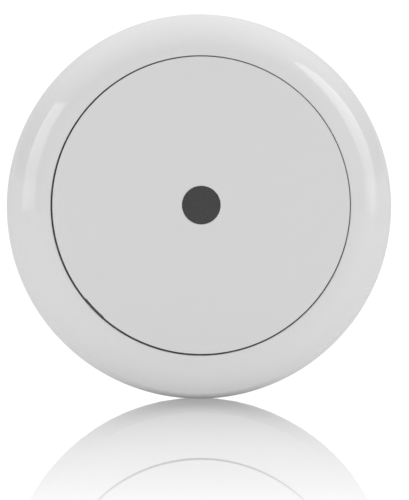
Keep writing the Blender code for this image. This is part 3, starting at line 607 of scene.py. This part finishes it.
# Centre of each chip part, as (right, up) in millimetres, and whether its length runs up
SMALL_PARTS = (
    (-12.4, 3.6, True), (-12.4, 0.6, True), (-12.4, -2.4, True), (-23.2, 3.4, True),
    (-20.4, 7.2, False), (-17.6, 7.2, False), (-14.8, 7.2, False), (-11.8, 7.2, False),
    (12.6, -2.2, True), (14.6, -2.2, True), (16.6, -2.2, True), (18.6, -2.2, True),
    (13.2, -6.0, False), (16.6, -6.0, False), (28.0, 2.0, False), (28.0, -5.0, False),
    (-1.5, 10.4, False), (-4.6, 19.2, False), (-1.6, 19.2, False), (4.4, 14.6, True),
    (4.4, 11.6, True), (25.4, 16.8, True), (27.4, 16.8, True), (20.6, 20.4, False),
    (24.0, 20.4, False), (20.6, 22.6, False), (-4.6, 22.6, True), (-27.4, 16.6, True),
)
PART_BODY = Vector((1.0, 0.80, 0.50)) * MM
PART_CAP = Vector((0.32, 0.84, 0.54)) * MM
PART_PAD = Vector((0.50, 1.00, 0.05)) * MM
CAP_OFFSET = 0.655 * MM  # from the part's middle, along its length
PAD_OFFSET = 1.25 * CAP_OFFSET

# Centre and half width of each chip that has legs, and the distance between legs
PROCESSOR, PROCESSOR_HALF, PROCESSOR_PITCH = (-17.5 * MM, 1.5 * MM), 3.5 * MM, 0.8 * MM
AMPLIFIER, AMPLIFIER_HALF, AMPLIFIER_PITCH = (-1.5 * MM, 14.5 * MM), 2.0 * MM, 1.27 * MM
REGULATOR, REGULATOR_HALF, REGULATOR_PITCH = (28.0 * MM, -1.5 * MM), 0.85 * MM, 0.95 * MM
FINE_LEG, WIDE_LEG = 0.32 * MM, 0.42 * MM
LEG_RISE, LEG_THICKNESS = 0.5 * MM, 0.13 * MM

# Where the battery leads and the antenna come through the board, and half a joint's section
SOLDERED = ((21.5, -4.5), (-21.5, -4.5), (2.5, 24.5))
CONE = (
    (0.0, 1.05), (0.42, 1.0), (0.62, 0.62), (0.95, 0.22), (1.45, 0.06), (1.5, -0.05), (0.0, -0.05)
)


def build_small_parts():
    """Chip resistors and capacitors: a dark body between two tinned ends."""
    bodies, ends = bmesh.new(), bmesh.new()
    solder, middle = BOARD + 0.025 * MM, BOARD + 0.28 * MM
    for x, y, upright in SMALL_PARTS:
        size = PART_BODY.yxz if upright else PART_BODY
        add_block(bodies, size, (x * MM, y * MM, middle), 0.03 * MM)
    # The pads come first, because a bevel changes the order of what is added after it
    for size, reach, z, bevel in (
        (PART_PAD, PAD_OFFSET, solder, 0.0),
        (PART_CAP, CAP_OFFSET, middle, 0.05 * MM),
    ):
        for x, y, upright in SMALL_PARTS:
            for off in (-reach, reach):
                at = (x * MM, y * MM + off) if upright else (x * MM + off, y * MM)
                add_block(ends, size.yxz if upright else size, (*at, z), bevel)
    new_piece("chip_parts", bodies, "sensor", "black_plastic")
    new_piece("chip_part_ends", ends, "sensor", "steel")


def add_leg(cage, place, degrees, width):
    """Adds a bent leg that leaves a chip's side at place and ends on the board."""
    half = LEG_THICKNESS / 2
    line = [(-0.1, LEG_RISE), (0.25, LEG_RISE), (0.45, half), (0.95, half)]
    line = [(x * MM, z) for x, z in line]
    turn = Matrix.Rotation(math.radians(degrees), 4, "Z")
    sides = []
    for y in (-width / 2, width / 2):
        points = [(x, z + half) for x, z in line] + [(x, z - half) for x, z in line[::-1]]
        row = []
        for x, z in points:
            corner = turn @ Vector((x, y, 0.0)) + Vector((*place, BOARD + z + 0.01 * MM))
            row.append(cage.verts.new(corner))
        sides.append(row)
    count = len(sides[0])
    for j in range(count):
        k = (j + 1) % count
        cage.faces.new((sides[0][j], sides[0][k], sides[1][k], sides[1][j]))
    for i in range(len(line) - 1):
        for row in sides:
            cage.faces.new((row[i], row[i + 1], row[count - 2 - i], row[count - 1 - i]))


def build_legs():
    """The legs of the processor, the amplifier and the regulator."""
    cage = bmesh.new()
    (x, y), half = PROCESSOR, PROCESSOR_HALF
    for i in range(8):
        off = (i - 3.5) * PROCESSOR_PITCH
        add_leg(cage, (x + half, y + off), 0, FINE_LEG)
        add_leg(cage, (x - half, y + off), 180, FINE_LEG)
        add_leg(cage, (x + off, y + half), 90, FINE_LEG)
        add_leg(cage, (x + off, y - half), 270, FINE_LEG)
    (x, y), half = AMPLIFIER, AMPLIFIER_HALF
    for i in range(4):
        off = (i - 1.5) * AMPLIFIER_PITCH
        add_leg(cage, (x + off, y + half), 90, WIDE_LEG)
        add_leg(cage, (x + off, y - half), 270, WIDE_LEG)
    (x, y), half = REGULATOR, REGULATOR_HALF
    for step, side in ((-1, -1), (1, -1), (0, 1)):
        place = (x + step * REGULATOR_PITCH, y + side * half)
        add_leg(cage, place, 90 * side, WIDE_LEG)
    new_piece("chip_legs", cage, "sensor", "steel")


def build_solder():
    """Solder cones where the battery leads and the antenna come through the board."""
    cage = bmesh.new()
    cone = [(r * MM, BOARD + z * MM) for r, z in CONE]
    for x, y in SOLDERED:
        add_domed(cage, cone, 32, (x * MM, y * MM))
    new_piece("solder_joints", cage, "sensor", "steel", 60)


# ---- tamper spring ---------------------------------------------------------------------


def add_tamper_coil(cage, centre, first, last, per_turn=24, sides=10):
    """Adds the spring's round wire, wound about z from height first to height last."""
    count = SPRING_TURNS * per_turn
    length = 2 * math.pi * SPRING_RADIUS * SPRING_TURNS
    rings = []
    for i in range(count + 1):
        angle = 2 * math.pi * i / per_turn
        out = Vector((math.cos(angle), math.sin(angle), 0.0))
        along = length * Vector((-out.y, out.x, 0.0)) + Vector((0.0, 0.0, last - first))
        across = along.normalized().cross(out)
        middle = Vector((*centre, first + (last - first) * i / count)) + SPRING_RADIUS * out
        ring = []
        for j in range(sides):
            around = 2 * math.pi * j / sides
            offset = SPRING_WIRE * (math.cos(around) * out + math.sin(around) * across)
            ring.append(cage.verts.new(middle + offset))
        rings.append(ring)
    for here, there in zip(rings, rings[1:]):
        for j in range(sides):
            k = (j + 1) % sides
            cage.faces.new((here[j], here[k], there[k], there[j]))
    cage.faces.new(rings[0])
    cage.faces.new(rings[-1])


def build_tamper_spring():
    """A coil of round wire that stands in for the CAD spring, wound between the ends of its box.
    """
    low, high = (Vector(corner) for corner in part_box("tamper_spring"))
    middle = (low + high) / 2
    first, last = -high.y + SPRING_WIRE, -low.y - SPRING_WIRE
    cage = bmesh.new()
    add_tamper_coil(cage, (middle.x, middle.z), first, last)
    coil = new_piece("tamper_spring_coil", cage, None, slot_of(NODES["tamper_spring"]))
    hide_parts("tamper_spring")
    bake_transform(coil)


# ---- CAD nodes that stay ---------------------------------------------------------------


WELD_DISTANCE = 0.002 * MM
SMOOTH_BELOW = math.radians(35)


def smoothing_group():
    """Welds a CAD node's triangles and smooths the shading between faces that meet gently."""
    group = bpy.data.node_groups.new("weld_and_smooth", "GeometryNodeTree")
    group.interface.new_socket("Geometry", in_out="INPUT", socket_type="NodeSocketGeometry")
    group.interface.new_socket("Geometry", in_out="OUTPUT", socket_type="NodeSocketGeometry")
    new, link = group.nodes.new, group.links.new
    source, result = new("NodeGroupInput"), new("NodeGroupOutput")
    weld = new("GeometryNodeMergeByDistance")
    weld.inputs["Distance"].default_value = WELD_DISTANCE
    faces = new("GeometryNodeSetShadeSmooth")
    edges = new("GeometryNodeSetShadeSmooth")
    edges.domain = "EDGE"
    edges.inputs["Shade Smooth"].default_value = False
    angle = new("GeometryNodeInputMeshEdgeAngle")
    sharp = new("FunctionNodeCompare")
    sharp.operation = "GREATER_THAN"
    sharp.inputs["B"].default_value = SMOOTH_BELOW
    link(source.outputs[0], weld.inputs["Geometry"])
    link(weld.outputs["Geometry"], faces.inputs["Geometry"])
    link(faces.outputs["Geometry"], edges.inputs["Geometry"])
    link(angle.outputs["Unsigned Angle"], sharp.inputs["A"])
    link(sharp.outputs["Result"], edges.inputs["Selection"])
    link(edges.outputs["Geometry"], result.inputs[0])
    return group


def finish_nodes():
    """Gives each CAD node that still shows its finish and smooth shading."""
    group = smoothing_group()
    for node in NODES.values():
        if node.hide_render:
            continue
        slot = slot_of(node)
        node.data.materials[0] = MATERIALS[slot]
        if "custom_normal" in node.data.attributes:
            node.data.attributes.remove(node.data.attributes["custom_normal"])
        modifier = node.modifiers.new("weld_and_smooth", "NODES")
        modifier.node_group = group


# ---- stage, light and camera -----------------------------------------------------------


WHITE = (1.0, 1.0, 1.0, 1.0)


def build_floor():
    """A pale polished floor. The camera sees a glow that mirrors more at lower angles.

    To every other ray it is a matt floor that glows, more so in front of the device; the weaker
    glow under the device's rear and behind it is painted shadow.
    """
    cage = bmesh.new()
    bmesh.ops.create_grid(cage, x_segments=8, y_segments=8, size=3.0)
    mesh = bpy.data.meshes.new("studio_floor")
    cage.to_mesh(mesh)
    cage.free()
    floor = bpy.data.objects.new("studio_floor", mesh)
    floor.location = (0.0, 0.0, -BODY_RADIUS)
    bpy.context.scene.collection.objects.link(floor)

    s = Shader("studio_floor_acrylic", (0.66, 0.66, 0.66), 0.5)
    s.main.inputs["Emission Color"].default_value = WHITE
    place = s.node("ShaderNodeTexCoord").outputs["Object"]
    depth = s.node("ShaderNodeSeparateXYZ")
    s.link(place, depth.inputs[0])
    # painted shadow: the glow drops from in front of the device to under its rear and behind it,
    # standing in for the device's shadow on the floor
    bounce = s.spread(depth.outputs["Y"], 0.29, 0.15, low_in=-26 * MM, high_in=-18 * MM)
    s.link(bounce, s.main.inputs["Emission Strength"])
    away = s.node("ShaderNodeVectorMath")
    away.operation = "LENGTH"
    s.link(place, away.inputs[0])
    s.colour(s.mix(s.noise(0.4, 2.0), (0.65, 0.65, 0.65), (0.67, 0.67, 0.67)))
    glow = s.node("ShaderNodeEmission")
    glow.inputs["Strength"].default_value = 1.04
    mirror = s.node("ShaderNodeBsdfGlossy")
    mirror.inputs["Roughness"].default_value = 0.0
    mirror.inputs["Color"].default_value = WHITE
    grazing = s.node("ShaderNodeLayerWeight")
    polished = s.node("ShaderNodeMixShader")
    gloss = s.spread(grazing.outputs["Facing"], 0.0, 0.86, low_in=0.821, high_in=0.905)
    near = s.spread(away.outputs["Value"], 1.0, 0.0, low_in=0.18, high_in=0.32)
    s.link(s.math("MULTIPLY", gloss, near), polished.inputs[0])
    s.link(glow.outputs[0], polished.inputs[1])
    s.link(mirror.outputs[0], polished.inputs[2])
    seen = s.node("ShaderNodeMixShader")
    s.link(s.node("ShaderNodeLightPath").outputs["Is Camera Ray"], seen.inputs[0])
    s.link(s.main.outputs[0], seen.inputs[1])
    s.link(polished.outputs[0], seen.inputs[2])
    s.link(seen.outputs[0], s.tree.nodes["Material Output"].inputs["Surface"])
    mesh.materials.append(s.material)


def smooth_range(node, *ends):
    """Sets the input range and the output range of a Map Range node, with a smooth course."""
    node.interpolation_type = "SMOOTHSTEP"
    for socket, value in zip(("From Min", "From Max", "To Min", "To Max"), ends):
        node.inputs[socket].default_value = value


def area_light(name, place, target, size, radiance, roll, fade, shape="RECTANGLE"):
    """A soft panel that faces target and dims towards its foot.

    fade holds the heights, as shares of the panel's, where dimming is strongest and where it
    ends, and the share of radiance that is left where it is strongest.
    """
    data = bpy.data.lights.new(name, "AREA")
    data.shape = shape
    data.size, data.size_y = size
    data.energy = radiance * math.pi * size[0] * size[1]
    data.use_nodes = True
    nodes, links = data.node_tree.nodes, data.node_tree.links
    parts = nodes.new("ShaderNodeSeparateXYZ")
    links.new(nodes.new("ShaderNodeNewGeometry").outputs["Parametric"], parts.inputs[0])
    dimming = nodes.new("ShaderNodeMapRange")
    smooth_range(dimming, *fade, 1.0)
    links.new(parts.outputs["Y"], dimming.inputs["Value"])
    links.new(dimming.outputs["Result"], nodes["Emission"].inputs["Strength"])
    light = bpy.data.objects.new(name, data)
    facing = (Vector(target) - Vector(place)).to_track_quat("-Z", "Y").to_matrix().to_4x4()
    turned = facing @ Matrix.Rotation(math.radians(roll), 4, "Z")
    light.matrix_world = Matrix.Translation(place) @ turned
    bpy.context.scene.collection.objects.link(light)


def build_world(side=0.22, above=1.08, ahead=0.69, behind=0.22, white=1.08):
    """A pale studio, brighter overhead and in front, with a white backdrop and low horizon.

    The arguments are radiances. The camera itself sees white everywhere.
    """
    world = bpy.data.worlds.new("studio")
    world.use_nodes = True
    bpy.context.scene.world = world
    tree = world.node_tree
    new, link = tree.nodes.new, tree.links.new

    def ramp(source, first, last, low, high):
        made = new("ShaderNodeMapRange")
        smooth_range(made, first, last, low, high)
        link(source, made.inputs["Value"])
        return made.outputs["Result"]

    def combine(operation, first, second):
        made = new("ShaderNodeMath")
        made.operation = operation
        link(first, made.inputs[0])
        link(second, made.inputs[1])
        return made.outputs["Value"]

    def toward(*aim):
        made = new("ShaderNodeVectorMath")
        made.operation = "DOT_PRODUCT"
        made.inputs[1].default_value = aim
        link(new("ShaderNodeTexCoord").outputs["Generated"], made.inputs[0])
        return made.outputs["Value"]

    direction = new("ShaderNodeSeparateXYZ")
    link(new("ShaderNodeTexCoord").outputs["Generated"], direction.inputs["Vector"])
    overhead = ramp(toward(0.0, 0.4, 1.0), 0.45, 1.06, 0.0, above)
    front = ramp(toward(0.03, -1.0, 0.15), 0.3, 1.0, side, side + ahead)
    studio = combine("ADD", overhead, front)
    studio = combine("ADD", studio, ramp(direction.outputs["Y"], 0.7, 0.95, 0.0, behind))
    backdrop = ramp(direction.outputs["Y"], 0.964, 0.978, 0.0, white)
    # The horizon keeps the floor's mirroring pale in low views. It ends in front of the device.
    across = combine("MULTIPLY", direction.outputs["X"], direction.outputs["X"])
    low = ramp(direction.outputs["Z"], 0.22, 0.12, 0.0, white)
    horizon = combine("MULTIPLY", ramp(across, 0.86, 0.94, 0.62, 1.0), low)
    horizon = combine("MULTIPLY", horizon, ramp(direction.outputs["Y"], -0.35, -0.2, 0.0, 1.0))
    backdrop = combine("MAXIMUM", combine("MAXIMUM", studio, horizon), backdrop)
    eye = ramp(new("ShaderNodeLightPath").outputs["Is Camera Ray"], 0.0, 1.0, 0.0, white)
    link(combine("MAXIMUM", backdrop, eye), tree.nodes["Background"].inputs["Strength"])
    tree.nodes["Background"].inputs["Color"].default_value = WHITE


def build_lights():
    """The studio, and a panel on each side for the bezel's two long highlights."""
    build_world()
    area_light(
        "left_strip",
        place=(-0.70, 0.02, 0.27),
        target=(0.0, 0.02, 0.27),
        size=(0.33, 0.54),
        radiance=1.7,
        roll=6,
        fade=(0.0, 0.65, 0.3),
    )
    area_light(
        "right_panel",
        place=(0.70, 0.05, 0.50),
        target=(0.0, 0.05, 0.50),
        size=(0.37, 1.10),
        radiance=1.5,
        roll=-3,
        fade=(0.0, 0.5, 0.3),
        shape="ELLIPSE",
    )
    bpy.context.scene.view_settings.view_transform = "Standard"


def build_camera():
    """A long lens close to the device's axis, a little left of it and below it."""
    data = bpy.data.cameras.new("camera")
    data.lens = 125.75
    data.shift_x = 0.0831
    data.shift_y = -0.0473
    data.clip_start, data.clip_end = 0.01, 20.0
    camera = bpy.data.objects.new("camera", data)
    camera.location = (-10.3 * MM, -511.0 * MM, -5.7 * MM)
    camera.rotation_euler = (math.pi / 2, 0.0, 0.0)
    bpy.context.scene.collection.objects.link(camera)
    bpy.context.scene.camera = camera


build_bezel()
build_disc()
build_lens()
build_small_parts()
build_legs()
build_solder()
build_tamper_spring()
finish_nodes()
build_floor()
build_lights()
build_camera()

bpy.context.view_layer.update()
